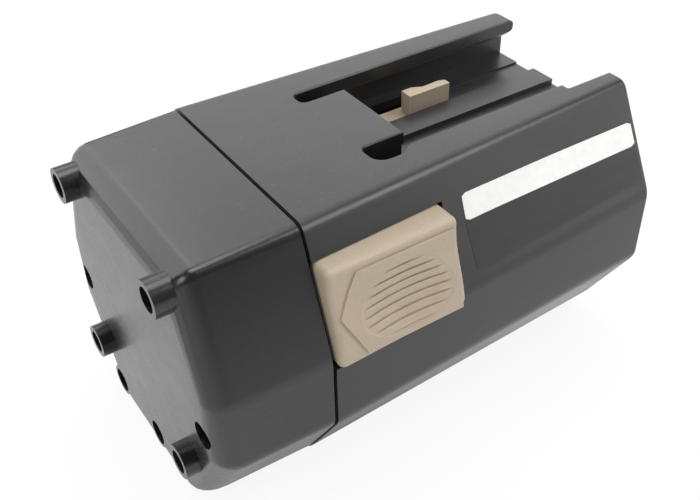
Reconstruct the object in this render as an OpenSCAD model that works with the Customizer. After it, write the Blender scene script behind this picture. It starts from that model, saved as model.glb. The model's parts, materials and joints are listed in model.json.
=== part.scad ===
// Slide-on battery pack for a cordless power tool, lying with its slide channel up.
// +X is the open end of the channel, -X the base cap, -Y the flank with the release button.
// Z = 0 is the flat bottom. Lengths called "from seam" run from the housing's seam towards +X,
// and drops run down from the top of the rails.

/* [Cells] */
// Diameter of one cell in its sleeve
cell_d = 22.5; // [21.5:0.1:23.5]
// Length of one cell with its positive tip
cell_length = 42.3; // [38:0.1:46]
// Gap between neighbouring cells
cell_gap = 0.4; // [0.2:0.1:0.8]
// Gap between the two layers of cells
link_gap = 2.4; // [1.6:0.1:4]
// Distance from the seam to the first layer of cells
cell_start = 5.4; // [5.2:0.1:8]
// Thickness of the nickel straps
strap_thickness = 0.3; // [0.2:0.05:0.5]
// Width of the nickel straps
strap_width = 8; // [5:0.5:10]
// Thickness of the foam pad at the front wall
front_pad_thickness = 1.2; // [0.8:0.1:3]
// Thickness of the foam pad at the rear straps
rear_pad_thickness = 2; // [1:0.1:3]

/* [Case section] */
// Wall thickness of the housing and the cap
wall = 2.6; // [2:0.1:3]
// Room between the outer cells and the flanks at the seam
side_clearance = 3.3; // [2.8:0.1:5]
// Room under the lower cells
bottom_clearance = 0.6; // [0.4:0.1:2]
// How far each flank closes in towards the open end
end_taper = 2; // [1:0.1:2.3]
// Half width of the flat bottom
bottom_half = 23.9; // [22:0.1:27]
// How far each bottom edge closes in towards the open end
bottom_taper = 3.1; // [0:0.1:4]
// Drop of the knee between shoulder and flank at the seam
knee_drop = 29.4; // [28:0.1:32]
// Climb of the knee towards the open end
knee_rise = 3.4; // [1:0.1:5]
// Height of the lower edge of the flank at the seam
flank_low = 25.7; // [22:0.1:29]
// Climb of that lower edge towards the open end
flank_low_rise = 2.4; // [0:0.1:4]
// Corner radius along the top edges
top_radius = 3.4; // [2:0.1:5]
// Corner radius along the knees
knee_radius = 8.7; // [4:0.1:11]
// Corner radius along the lower edges of the flanks
low_radius = 6.5; // [3:0.1:10]
// Corner radius along the bottom edges
bottom_radius = 13.5; // [8:0.1:16]
// Rounding of the rim at the open end
rim_radius = 1.2; // [0.6:0.1:2]

/* [Base cap] */
// Length of the base cap from the seam to its base face
cap_length = 29; // [26:0.5:34]
// How much smaller the cap is than the housing at the seam
cap_step = 0.3; // [0:0.1:1]
// Draft of the cap over its length
cap_draft = 0.85; // [0.4:0.05:1.6]
// Rounding around the base face
cap_edge_radius = 5.8; // [4:0.1:7]
// Rounding along the lower edge of the base face
cap_low_radius = 0.6; // [0.4:0.1:2]
// Width of the groove along the seam
seam_gap = 0.7; // [0.5:0.1:1.4]
// Depth of the groove along the seam
seam_depth = 1.4; // [0.8:0.1:1.8]
// Length of the spigot inside the housing
spigot_length = 2.4; // [1.6:0.1:2.6]
// Wall of the spigot
spigot_wall = 1.6; // [1.2:0.1:2]
// Play around the spigot
spigot_play = 0.15; // [0.05:0.05:0.3]

/* [Bosses and screws] */
// Distance of the bosses from the middle plane
boss_y = 23.6; // [22.5:0.1:24.5]
// Drop of the upper bosses
boss_drop = 7.2; // [6.5:0.1:8]
// Height of the lower bosses above the bottom
boss_low = 18.5; // [18:0.2:20]
// Outer diameter of a boss
boss_d = 8.6; // [8:0.1:9.4]
// Bore of a boss
boss_bore = 5.8; // [5.6:0.1:6.4]
// Height of a boss above the base face
boss_height = 3.6; // [2:0.2:6]
// Depth of the screw seat below the end of the boss
screw_sink = 6.6; // [5:0.2:12]
// Shank diameter of a case screw
screw_d = 3; // [2.5:0.1:3.5]
// Head diameter of a case screw
screw_head_d = 5.4; // [4.6:0.1:5.5]
// Head height of a case screw
screw_head_h = 2.2; // [1.6:0.1:3]
// Diameter of the screw pillars in the housing
pillar_d = 7; // [6.4:0.1:7.4]
// Reach of the pillars into the cap
pillar_reach = 8; // [4:0.5:14]
// Length of the lower pillars inside the housing
pillar_root = 4.7; // [4.4:0.1:4.9]
// Play of the screws and between the pillars and the cap's tubes
screw_play = 0.1; // [0.05:0.05:0.3]
// Diameter of the plain recesses in the base face
recess_d = 6.6; // [5:0.1:7]
// Depth of the plain recesses
recess_depth = 6; // [3:0.5:10]
// Wall around the recesses
recess_wall = 0.9; // [0.6:0.1:1.4]
// Distance of the side recesses from the middle plane
recess_side_y = 31.8; // [30:0.1:32.5]
// Height of the side recesses
recess_side_z = 32.9; // [31:0.1:36]
// Distance of the far bottom recess from the middle plane
recess_low_y = 21.3; // [19:0.1:22.5]
// Distance between the two bottom recesses
recess_low_step = 22; // [18:0.5:24]
// Height of the bottom recesses
recess_low_z = 4.2; // [4:0.1:5]

/* [Slide channel] */
// Half of the gap between the rail lips
lip_half = 17; // [15:0.1:18]
// Width of a rail's top at the seam
rail_width_seam = 12; // [10.5:0.1:13]
// Width of a rail's top at the open end
rail_width_open = 7.4; // [6:0.1:9]
// Height of the lip's upright face
lip_face = 3.2; // [2:0.1:3.6]
// Width of the undercut behind each lip
lip_undercut = 3.4; // [2:0.1:3.6]
// Height of the slanted underside of the lip
lip_slope = 2.9; // [1:0.1:4.2]
// Depth of the channel
channel_depth = 11.4; // [11:0.1:13]
// Thickness of the channel's floor and walls
channel_wall = 2.2; // [1.8:0.1:2.6]
// Distance from the seam to the closed end of the channel
channel_start = 11; // [10.6:0.1:13]
// Distance from the seam to the slots beside the tongue
slot_start = 25.4; // [24:0.1:29]
// Half width of the tongue
tongue_half = 12.2; // [11:0.1:13]
// Distance from the seam to the tip of the tongue
tongue_reach = 37.5; // [34:0.1:41]
// Corner radius of the slots
slot_radius = 1.6; // [0.5:0.1:2]
// Corner radius of the near slot's outer corner
near_slot_radius = 3.2; // [1:0.1:3.6]
// Rounding of the upper edges of the lips and the tongue
lip_edge = 0.5; // [0.3:0.1:0.8]
// Thickness of the walls under the tongue
cheek_wall = 1.4; // [1:0.1:1.6]
// How far the near lip stands back outside its key
near_relief = 2.2; // [1:0.1:2.4]
// Distance from the seam to the key on the near lip
key_start = 32.3; // [30:0.1:35]
// Length of the slanted end of the key
key_slant = 2.9; // [1:0.1:4]
// Length of the key on the near lip
key_length = 49.7; // [40:0.1:54]
// Near edge of the raised guide in the channel floor
guide_near = -0.8; // [-3:0.1:0]
// Width of the raised guide
guide_width = 7.4; // [6:0.1:7.6]
// Height of the raised guide
guide_rise = 1.4; // [0.6:0.1:1.8]
// Rise of the floor beside the far wall
ledge_rise = 0.5; // [0.2:0.1:0.8]

/* [Release latch] */
// Travel of the button and the latch
travel = 3; // [2:0.1:3.2]
// Length of the button along the seam-to-end direction
button_length = 33.9; // [32:0.1:36]
// Drop of the button's upper face
button_drop = 8; // [7:0.1:9]
// Height of the button
button_height = 22.2; // [20:0.1:23]
// How far the button stands out at its upper edge
button_proud_top = 4.9; // [4:0.1:6]
// How far the button stands out at its lower edge
button_proud_low = 1.6; // [1.2:0.1:3]
// How much lower the button reaches at its left end
button_lean = 1.2; // [0:0.1:1.6]
// How far the button's face hollows halfway between its upper and lower edge
face_hollow = 0.45; // [0.2:0.05:0.7]
// Corner radius of the button's lower right corner, seen from the front
button_corner = 2.2; // [1.4:0.1:3]
// Rounding of the button's edges
button_radius = 1.5; // [0.6:0.1:1.7]
// Play around the button in its window
button_play = 0.35; // [0.3:0.05:0.5]
// Height of the raised panel on the button
panel_rise = 0.5; // [0.3:0.1:0.8]
// Margin of the raised panel
panel_margin = 1.6; // [1.2:0.1:2.4]
// Length of the panel's pointed end
panel_point = 5.2; // [3:0.1:7]
// Half length of the finger dish
dish_length = 12; // [10:0.1:12.6]
// Half height of the finger dish
dish_height = 9.4; // [8:0.1:9.6]
// Depth of the finger dish
dish_depth = 1.7; // [1:0.1:2]
// Number of grip ribs in the dish
grip_ribs = 8; // [5:1:9]
// Thickness of a grip rib
rib_width = 1.5; // [0.8:0.1:1.6]
// Height of a grip rib
rib_height = 0.4; // [0.2:0.05:0.8]
// Width of the slider plate
slider_width = 14; // [13:0.1:15]
// Thickness of the slider plate
slider_thickness = 3.6; // [3:0.1:4.2]
// Play of the slider in its guides
slider_play = 0.4; // [0.3:0.05:0.6]
// Distance from the seam to the slider plate
slider_start = 17.2; // [16.8:0.1:18.4]
// Near edge of the latch strip
strip_near = 7.6; // [7.4:0.1:9]
// Width of the latch strip
strip_width = 5.8; // [4.6:0.1:6]
// How far the latch strip lies below the channel floor
strip_sink = 0.5; // [0.3:0.1:1]
// Distance from the seam to the hook
hook_start = 54.6; // [52:0.1:57]
// Length of the hook
hook_length = 12.6; // [11:0.1:14]
// Width of the hook
hook_width = 3.7; // [3:0.1:4]
// Drop of the hook's top
hook_drop = 5.9; // [4.5:0.1:7]
// Length of the strip before the hook
strip_lead = 13; // [10:0.2:15]

/* [Spring and keeper] */
// Outer diameter of the return spring
spring_d = 4.2; // [3.6:0.1:4.4]
// Wire diameter of the return spring
spring_wire = 0.5; // [0.4:0.05:0.6]
// Length of the return spring at rest
spring_length = 14; // [12:0.5:15]
// Turns of the return spring
spring_turns = 9; // [7:1:10]
// Thickness of the spring post
post_thickness = 2.5; // [2:0.1:3]
// Width of the guide ribs beside the slider
guide_rib = 5; // [4.6:0.1:5.4]
// Thickness of the keeper plate
keeper_thickness = 1.8; // [1.4:0.1:2.4]
// Shank diameter of a keeper screw
keeper_screw_d = 2; // [1.6:0.1:2.4]
// Room between the keeper and the insulation board
lead_space = 7.3; // [6:0.1:10]

/* [Contacts] */
// Distance between the contact blades
contact_pitch = 7.2; // [6.5:0.1:7.6]
// Thickness of a contact blade
blade_thickness = 0.8; // [0.6:0.1:1]
// Height of a contact blade
blade_height = 4.4; // [3.6:0.1:4.6]
// Reach of the blades beyond the channel's closed end
blade_reach = 17; // [12:0.5:20]
// Length of the blades' solder tails
blade_tail = 3; // [2.5:0.1:3.4]
// Thickness of the carrier's flange
carrier_flange = 3.4; // [2.6:0.1:3.6]
// Reach of the carrier into the channel
carrier_nose = 2; // [1:0.1:4]
// Play around the carrier and the blades
carrier_play = 0.1; // [0.05:0.05:0.2]
// Diameter of the power leads
lead_d = 2.4; // [1.8:0.1:2.6]
// Diameter of the sensor lead
sensor_lead_d = 1.4; // [1:0.1:1.6]
// Diameter of the temperature sensor
sensor_d = 3.2; // [2.4:0.1:3.4]
// Length of the temperature sensor
sensor_length = 8; // [5:0.5:12]
// Diameter of the thermal cut-out
cutout_d = 10; // [8:0.2:12]
// Thickness of the thermal cut-out
cutout_thickness = 3; // [2:0.1:3.4]
// Thickness of the insulation board over the cells
board_thickness = 1.2; // [0.8:0.1:2]

/* [Hidden] */
$fn = 48;
case_colour = "#3a3a3c";
grip_colour = "#b3a38c";
nickel_colour = "#b9b6ad";
copper_colour = "#b87b4b";
card_colour = "#c9bfa2";
sleeve_colour = "#2f5f49";
eps = 0.01;
spare = 5;

// Levels, built up from the bottom
cell_r = cell_d / 2;
cell_pitch = cell_d + cell_gap;
row_pitch = cell_pitch * sqrt(3) / 2;
low_row_z = wall + bottom_clearance + cell_r;
high_row_z = low_row_z + row_pitch;
board_z = high_row_z + cell_r + cell_gap;
keeper_z = board_z + board_thickness + lead_space;
slider_z = keeper_z + keeper_thickness + slider_play;
floor_under_z = slider_z + slider_thickness + slider_play;
floor_z = floor_under_z + channel_wall;
top_z = floor_z + channel_depth;

// Lengths
front_z_gap = strap_thickness + front_pad_thickness;
housing_length = cell_start + 2 * cell_length + link_gap + front_z_gap + wall;
total_length = boss_height + cap_length + housing_length;
seam_x = boss_height + cap_length - total_length / 2;
open_x = seam_x + housing_length;
base_x = seam_x - cap_length;
boss_end_x = base_x - boss_height;
first_cells_x = seam_x + cell_start;
second_cells_x = first_cells_x + cell_length + link_gap;
cells_end_x = second_cells_x + cell_length;
closed_x = seam_x + channel_start;

// Half widths
channel_half = lip_half + lip_undercut;
flank_half = cell_pitch + cell_r + side_clearance + wall;
arc_steps = 5;
least_corner = 2.5;

// Places of the five columns of cells, in the order in which they are joined
columns = [for (i = [0:4]) [(i - 2) * cell_pitch / 2, i % 2 == 0 ? high_row_z : low_row_z]];

// Slider and hook
slider_x = seam_x + slider_start;
hook_x = seam_x + hook_start;
hook_end_x = hook_x + hook_length;
strip_x = hook_x - strip_lead;
strip_far = strip_near + strip_width;
post_y = strip_far - post_thickness - slider_play;
slider_far = strip_far + 2.5;
slider_near = -33;
spring_x = slider_x + slider_width / 2;
spring_room = spring_d + 1.6;
spring_near = post_y - spring_length;

// Points of a polygon whose corners are rounded, each corner with its own radius,
// after every side has moved inwards by inset. The corners run clockwise.
function unit(v) = v / norm(v);
function inward(a, b) = let (d = unit(b - a)) [d[1], -d[0]];
function rounded(corners, radii, inset = 0, least = 0) = [
    for (i = [0:len(corners) - 1])
        let (
            count = len(corners),
            n1 = inward(corners[(i + count - 1) % count], corners[i]),
            n2 = inward(corners[i], corners[(i + 1) % count]),
            turn = atan2(n1[0] * n2[1] - n1[1] * n2[0], n1 * n2),
            radius = (turn < 0 ? 1 : -1) * max(radii[i] - inset, least),
            centre = corners[i] + (inset + radius) * (n1 + n2) / (1 + n1 * n2),
            start = atan2(n1[1], n1[0])
        )
        for (j = [0:abs(radius) > 0 ? arc_steps : 0])
            let (angle = start + turn * j / arc_steps)
            centre - radius * [cos(angle), sin(angle)]
];

// Points of the polygon itself after every side has moved inwards by inset
function moved(corners, inset) = [
    for (i = [0:len(corners) - 1])
        let (
            count = len(corners),
            n1 = inward(corners[(i + count - 1) % count], corners[i]),
            n2 = inward(corners[i], corners[(i + 1) % count])
        )
        corners[i] + inset * (n1 + n2) / (1 + n1 * n2)
];
// Steps around a rounded edge
quarter = [for (k = [0:3]) 30 * k];

// The case's cross-section: share 0 is the seam, share 1 the open end
function mix(a, b, share) = a + (b - a) * share;
function half_section(share, sink = 0) = [
    [lip_half + mix(rail_width_seam, rail_width_open, share), top_z],
    [flank_half - end_taper * share, top_z - knee_drop + knee_rise * share],
    [flank_half - end_taper * share, flank_low + flank_low_rise * share],
    [bottom_half - bottom_taper * share, -sink]
];
function mirrored(points) = [for (i = [len(points) - 1:-1:0]) [-points[i][0], points[i][1]]];
function section(share, sink) = concat(half_section(share, sink), mirrored(half_section(share, sink)));
section_radii = [
    top_radius, knee_radius, low_radius, bottom_radius,
    bottom_radius, low_radius, knee_radius, top_radius
];
function ring(x, inset, sink = 0) =
    let (share = max(0, (x - seam_x) / housing_length))
    [for (p = rounded(section(share, sink), section_radii, inset, least_corner)) [x, p[0], p[1]]];

// A solid skin through rings of equally many points
module loft(rings) {
    count = len(rings[0]);
    last = len(rings) - 1;
    sides = [
        for (i = [0:last - 1])
            for (j = [0:count - 1])
                let (
                    a = i * count + j,
                    b = i * count + (j + 1) % count
                )
                each [[a, b, b + count], [a, b + count, a + count]]
    ];
    ends = [
        [for (j = [count - 1:-1:0]) j],
        [for (j = [0:count - 1]) last * count + j]
    ];
    polyhedron([for (r = rings) each r], concat(sides, ends));
}

// A round tube along a path: the ring's frame is carried from point to point
function tangent(path, i) = unit(path[min(i + 1, len(path) - 1)] - path[max(i - 1, 0)]);
function carried(normal, along) = unit(normal - (normal * along) * along);
function normals(path, first, i = 0, done = []) = i == len(path) ? done :
    let (next = carried(i == 0 ? first : done[i - 1], tangent(path, i)))
    normals(path, first, i + 1, concat(done, [next]));
module tube(path, d, facing, sides) {
    frames = normals(path, facing);
    loft([
        for (i = [0:len(path) - 1])
            let (across = cross(tangent(path, i), frames[i]))
            [for (k = [0:sides - 1])
                let (angle = 360 * k / sides)
                path[i] + d / 2 * (cos(angle) * frames[i] - sin(angle) * across)]
    ]);
}

// A smooth curve through route points, with a few steps between each pair
function spline(p, i, s) =
    let (
        a = p[max(i - 1, 0)],
        b = p[i],
        c = p[i + 1],
        d = p[min(i + 2, len(p) - 1)]
    )
    b + (c - a) / 2 * s + (a - 2.5 * b + 2 * c - d / 2) * pow(s, 2)
    + (1.5 * b - a / 2 - 1.5 * c + d / 2) * pow(s, 3);
function smooth(p, steps) = [
    for (i = [0:len(p) - 2])
        for (k = [0:steps - 1])
            spline(p, i, k / steps),
    p[len(p) - 1]
];

// Helpers for boxes, round bars along X and extrusions along X
module box(low, high) {
    translate(low) cube(high - low);
}
module bar(x, length, y, z, d) {
    translate([x, y, z]) rotate([0, 90, 0]) cylinder(h = length, d = d);
}
module along_x(x, length) {
    translate([x, 0, 0]) rotate([90, 0, 90]) linear_extrude(length) children();
}

// Places of the bosses, in the order upper far, upper near, lower far, lower near
boss_places = [
    for (z = [top_z - boss_drop, boss_low])
        for (y = [boss_y, -boss_y])
            [y, z]
];
module at_bosses() {
    for (p = boss_places)
        translate([0, p[0], p[1]])
            children();
}

// The flank's outline where the button stands, at a given drop from the top
function shoulder_y(drop) =
    let (top = half_section(0)[0], knee = half_section(0)[1])
    mix(top[0], knee[0], drop / knee_drop);
button_top_z = top_z - button_drop;
button_low_z = button_top_z - button_height;
button_x = seam_x + button_play;
button_end_x = button_x + button_length;
face_top = [-shoulder_y(button_drop) - button_proud_top, button_top_z];
face_low = [-shoulder_y(button_drop + button_height) - button_proud_low, button_low_z];
face_tilt = atan2(face_top[0] - face_low[0], face_top[1] - face_low[1]);
face_length = norm(face_top - face_low);
face_out = unit([face_low[1] - face_top[1], face_top[0] - face_low[0]]);
face_steps = 8;
inner_depth = wall / cos(atan2(flank_half - shoulder_y(0), knee_drop)) + 1;
inner_top = [-shoulder_y(button_drop) + inner_depth, button_top_z];
inner_low = [-shoulder_y(button_drop + button_height) + inner_depth, button_low_z];
window_inner = -channel_half - channel_wall - button_play;

// The hollow outer face from its lower to its upper edge, moved out by rise:
// it hollows most above the middle and swells again towards the lower edge
function face_curve(rise) = [
    for (k = [0:face_steps])
        let (
            share = k / face_steps,
            hollow = face_hollow * (4 * share * (1 - share) - sin(360 * share))
        )
        mix(face_low, face_top, share) + (rise - hollow) * face_out
];
// How far the slanted lower edge lies below its right end
function lean_at(x) = button_lean * (button_end_x - x) / button_length;
// The button's front outline from its left edge, as a bar through the flank
module button_window(x, play) {
    right = button_end_x + play;
    low = button_low_z - play;
    top = button_top_z + play;
    corner = button_corner + play;
    outline = [[x, low - lean_at(x)], [x, top], [right, top], [right, low - lean_at(right)]];
    translate([0, window_inner, 0])
        rotate([90, 0, 0])
            linear_extrude(2 * flank_half)
                polygon(rounded(outline, [0, 0, 0, corner]));
}

// Main housing
module housing_skin() {
    loft(concat(
        [ring(seam_x, 0)],
        [for (a = quarter) ring(open_x - rim_radius * (1 - sin(a)), rim_radius * (1 - cos(a)))]
    ));
}
module housing_cavity() {
    difference() {
        loft([ring(seam_x - eps, wall), ring(open_x - wall, wall)]);
        box(
            [closed_x - channel_wall, -channel_half - channel_wall, floor_under_z],
            [open_x, channel_half + channel_wall, top_z]
        );
    }
}
// The undercut space below the lips, with the raised guide and the ledge in its floor
module channel_space() {
    lip_z = top_z - lip_face;
    slope_z = lip_z - lip_slope;
    guide_z = floor_z + guide_rise;
    guide_far = guide_near + guide_width;
    ledge_z = floor_z + ledge_rise;
    ledge_y = strip_far;
    inner_lip = lip_half - eps;
    upper = [
        [inner_lip, lip_z], [channel_half, slope_z], [channel_half, guide_z],
        [-channel_half, guide_z], [-channel_half, slope_z], [-inner_lip, lip_z]
    ];
    difference() {
        along_x(closed_x, open_x - closed_x + spare)
            polygon([
                [inner_lip, lip_z],
                [channel_half, slope_z],
                [channel_half, ledge_z],
                [ledge_y, ledge_z],
                [ledge_y, floor_z],
                [guide_far, floor_z],
                [guide_far, guide_z],
                [guide_near, guide_z],
                [guide_near, floor_z],
                [-channel_half, floor_z],
                [-channel_half, slope_z],
                [-inner_lip, lip_z]
            ]);
        // Walls that carry the tongue
        for (y = [cheek_wall - tongue_half, tongue_half])
            box([closed_x - eps, y - cheek_wall, floor_z - eps], [tip_x - lip_edge, y, lip_z + eps]);
    }
    rounded_end(upper);
    rounded_end(strip_above(ledge_y, channel_half, ledge_z, guide_z));
    rounded_end(strip_above(guide_far, ledge_y, floor_z, guide_z));
    rounded_end(strip_above(-channel_half, guide_near, floor_z, guide_z));
}
function strip_above(near, far, low, high) = [[near, high], [far, high], [far, low], [near, low]];
// A space that widens at the open end of the channel, so that its edge there is rounded
function end_ring(corners, x, grown) = [for (p = moved(corners, -grown)) [x, p[0], p[1]]];
module rounded_end(corners) {
    loft(concat(
        [for (a = quarter)
            end_ring(corners, open_x - rim_radius * (1 - sin(a)), rim_radius * (1 - cos(a)))],
        [end_ring(corners, open_x + spare, rim_radius)]
    ));
}
// The mouth between the lips: beside the far lip, before the tongue, beside the key,
// in the near slot up to the key's slanted end, and past the key
tip_x = seam_x + tongue_reach;
module channel_mouth() {
    near_back = -lip_half - near_relief;
    slot_x = seam_x + slot_start;
    key_x = seam_x + key_start;
    key_end_x = key_x + key_length;
    slant_x = key_x + key_slant * (near_relief + lip_half - tongue_half) / near_relief;
    past_x = open_x + spare;
    overlap = 0.5;
    small = slot_radius / 4;
    mouth_cut(
        [[slot_x, lip_half], [past_x, lip_half], [past_x, tongue_half], [slot_x, tongue_half]],
        [slot_radius, small, small, slot_radius]
    );
    mouth_cut(
        [
            [tip_x, tongue_half + 2 * overlap], [past_x, tongue_half + 2 * overlap],
            [past_x, -tongue_half - 2 * overlap], [tip_x, -tongue_half - 2 * overlap]
        ],
        [small, small, small, small]
    );
    mouth_cut(
        [
            [slot_x + 2 * slot_radius, -tongue_half - overlap], [past_x, -tongue_half - overlap],
            [past_x, -lip_half], [slot_x + 2 * slot_radius, -lip_half]
        ],
        [small, small, small, small]
    );
    mouth_cut(
        [[slot_x, -tongue_half], [slant_x, -tongue_half], [key_x, near_back], [slot_x, near_back]],
        [slot_radius, small, small, near_slot_radius]
    );
    mouth_cut(
        [
            [key_end_x, overlap - lip_half], [past_x, overlap - lip_half],
            [past_x, near_back], [key_end_x, near_back]
        ],
        [small, small, small, small]
    );
}
// An upright opening whose upper edge is rounded off
module mouth_cut(corners, radii) {
    low_z = top_z - lip_face - lip_slope;
    loft(concat(
        [[for (p = rounded(corners, radii)) [p[0], p[1], low_z]]],
        [for (a = quarter)
            [for (p = rounded(corners, radii, lip_edge * (cos(a) - 1)))
                [p[0], p[1], top_z - lip_edge * (1 - sin(a))]]],
        [[for (p = rounded(corners, radii, -lip_edge)) [p[0], p[1], top_z + spare]]]
    ));
}
module latch_slot() {
    box(
        [strip_x - slider_play, strip_near - slider_play, floor_under_z - spare],
        [hook_end_x + slider_play, strip_far + travel + slider_play, floor_z + guide_rise / 2]
    );
}
carrier_half = contact_pitch + blade_thickness + 2;
carrier_low_z = floor_z + guide_rise + 0.6;
carrier_high_z = top_z - lip_face - 0.8;
module contact_window() {
    box(
        [closed_x - channel_wall - spare, -carrier_half - carrier_play, carrier_low_z - carrier_play],
        [closed_x + spare, carrier_half + carrier_play, carrier_high_z + carrier_play]
    );
}
// Ribs that guide the slider, on its left side and its right side
rib_low_z = keeper_z + keeper_thickness;
left_rib_x = slider_x - slider_play - guide_rib;
right_rib_x = slider_x + slider_width + slider_play;
rib_reach = 17.5;
right_rib_far = strip_near - 2;
module guide_ribs() {
    difference() {
        union() {
            box(
                [left_rib_x, -rib_reach, rib_low_z],
                [left_rib_x + guide_rib, rib_reach, floor_under_z + eps]
            );
            box(
                [right_rib_x, -rib_reach, rib_low_z],
                [right_rib_x + guide_rib, right_rib_far, floor_under_z + eps]
            );
        }
        at_keeper_screws() cylinder(h = keeper_screw_depth, d = keeper_screw_d + screw_play);
    }
}
keeper_screw_depth = floor_under_z - rib_low_z - 0.5;
keeper_screw_inset = 3;
module at_keeper_screws() {
    left_x = left_rib_x + guide_rib / 2;
    right_x = right_rib_x + guide_rib / 2;
    near_y = -rib_reach + keeper_screw_inset;
    for (p = [
        [left_x, near_y],
        [left_x, -near_y],
        [right_x, near_y],
        [right_x, right_rib_far - keeper_screw_inset]
    ])
        translate([p[0], p[1], rib_low_z])
            children();
}
module spring_post() {
    box(
        [spring_x - spring_room / 2 + slider_play, post_y, slider_z - slider_play + eps],
        [spring_x + spring_room / 2 - slider_play, post_y + post_thickness, floor_under_z + eps]
    );
}
// Pillars for the case screws: the upper pair runs into the channel's end wall,
// the lower pair is tied to the walls by gussets past the end of the spigot
upper_root = channel_start - channel_wall / 2;
gusset_start = spigot_length + 2 * spigot_play;
module screw_pillars() {
    gusset_width = 7;
    difference() {
        union() {
            for (p = boss_places) {
                root = p[1] > top_z / 2 ? upper_root : pillar_root;
                bar(seam_x - pillar_reach, pillar_reach + root, p[0], p[1], pillar_d);
            }
            intersection() {
                loft([ring(seam_x, wall - 0.5), ring(seam_x + pillar_root, wall - 0.5)]);
                for (side = [-1, 1])
                    translate([seam_x + gusset_start, side * boss_y, boss_low])
                        rotate([-30 * side, 0, 0])
                            translate([0, side > 0 ? 0 : -flank_half, -gusset_width / 2])
                                cube([pillar_root - gusset_start, flank_half, gusset_width]);
            }
        }
        at_bosses()
            bar(seam_x - pillar_reach - eps, pillar_reach + pillar_root - 1, 0, 0, screw_d + screw_play);
    }
}
module main_housing() {
    color(case_colour) {
        difference() {
            housing_skin();
            housing_cavity();
            channel_space();
            channel_mouth();
            latch_slot();
            contact_window();
            button_window(seam_x - spare, button_play);
        }
        guide_ribs();
        spring_post();
        screw_pillars();
    }
}

// Base cap
function cap_inset(x) = cap_step + cap_draft * (seam_x - x) / cap_length;
module cap_skin() {
    turns = [for (k = [5:-1:0]) 90 * k / 5];
    groove_x = seam_x - seam_gap;
    rim_inset = cap_step + seam_depth;
    spigot_inset = wall + spigot_play;
    loft(concat(
        [for (a = turns)
            let (
                x = base_x + cap_edge_radius * (1 - sin(a)),
                drawn_in = 1 - cos(a)
            )
            ring(
                x,
                cap_inset(x) + cap_edge_radius * drawn_in,
                (cap_edge_radius - cap_low_radius) * drawn_in
            )],
        [
            ring(groove_x, cap_step),
            ring(groove_x + eps, rim_inset),
            ring(seam_x - eps, rim_inset),
            ring(seam_x, spigot_inset),
            ring(seam_x + spigot_length, spigot_inset + spigot_play)
        ]
    ));
}
module cap_cavity() {
    floor_x = base_x + wall;
    step_x = seam_x - 2 * seam_gap;
    spigot_inset = wall + 2 * spigot_play + spigot_wall;
    loft([
        ring(floor_x, cap_inset(floor_x) + wall + 1),
        ring(floor_x + 1, cap_inset(floor_x) + wall),
        ring(step_x - 2, cap_inset(step_x) + wall),
        ring(step_x, spigot_inset),
        ring(seam_x + spigot_length + spare, spigot_inset)
    ]);
}
low_recess_ys = [recess_low_y, recess_low_y - recess_low_step];
recess_places = concat(
    [for (y = [recess_side_y, -recess_side_y]) [y, recess_side_z]],
    [for (y = low_recess_ys) [y, recess_low_z]]
);
module base_cap() {
    tube_end_x = seam_x - pillar_reach - screw_play;
    seat_x = boss_end_x + screw_sink;
    socket_length = recess_depth + recess_wall;
    color(case_colour)
        difference() {
            union() {
                difference() {
                    cap_skin();
                    cap_cavity();
                }
                at_bosses() bar(boss_end_x, tube_end_x - boss_end_x, 0, 0, boss_d);
                intersection() {
                    cap_skin();
                    for (y = [-recess_side_y, recess_side_y])
                        bar(base_x, socket_length, y, recess_side_z, recess_d + 2 * recess_wall);
                }
                for (y = low_recess_ys)
                    bar(base_x, socket_length, y, recess_low_z, 2 * recess_low_z);
            }
            at_bosses() {
                bar(boss_end_x - eps, screw_sink, 0, 0, boss_bore);
                bar(seat_x - 2 * eps, tube_end_x - seat_x + spare, 0, 0, screw_d + 4 * screw_play);
            }
            for (p = recess_places)
                bar(base_x - eps, recess_depth, p[0], p[1], recess_d);
            // Room for the button and the pillars where the spigot passes them
            button_window(seam_x, 2 * button_play);
            at_bosses()
                bar(tube_end_x, pillar_reach + 2 * spare, 0, 0, pillar_d + 4 * screw_play);
        }
}

// Release button: a block with a tilted face, a raised panel and a ribbed finger dish
module on_button_face() {
    middle = (face_top + face_low) / 2;
    translate([(button_x + button_end_x) / 2, middle[0], middle[1]])
        rotate([90 - face_tilt, 0, 0])
            children();
}
// Distance from an edge of a given radius to its rounding, at a depth from the end
function rounding(radius, depth) =
    radius - sqrt(pow(radius, 2) - pow(max(radius - depth, 0), 2));
// The block's profile at x, drawn in and shortened towards the rounded ends
function button_ring(x) =
    let (
        depth = min(x - button_x, button_end_x - x),
        inset = rounding(button_radius, depth),
        corner = max(0, rounding(button_corner, button_end_x - x) - inset),
        reach = lean_at(x) - corner,
        face = face_curve(0),
        along = unit(face_low - face_top),
        profile = [
            inner_low - [0, reach],
            face_low + along * reach / cos(face_tilt),
            for (k = [1:face_steps]) face[k],
            inner_top
        ],
        radii = [
            for (k = [0:face_steps + 2])
                k == 1 ? 1.3 * button_radius : k == face_steps + 1 ? 1.1 * button_radius : 0
        ]
    )
    [for (p = rounded(profile, radii, inset)) [x, p[0], p[1]]];
module button_block() {
    ends = [for (k = [0:5]) button_corner * (1 - cos(18 * k))];
    loft(concat(
        [for (depth = ends) button_ring(button_x + depth)],
        [for (k = [5:-1:0]) button_ring(button_end_x - ends[k])]
    ));
}
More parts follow.
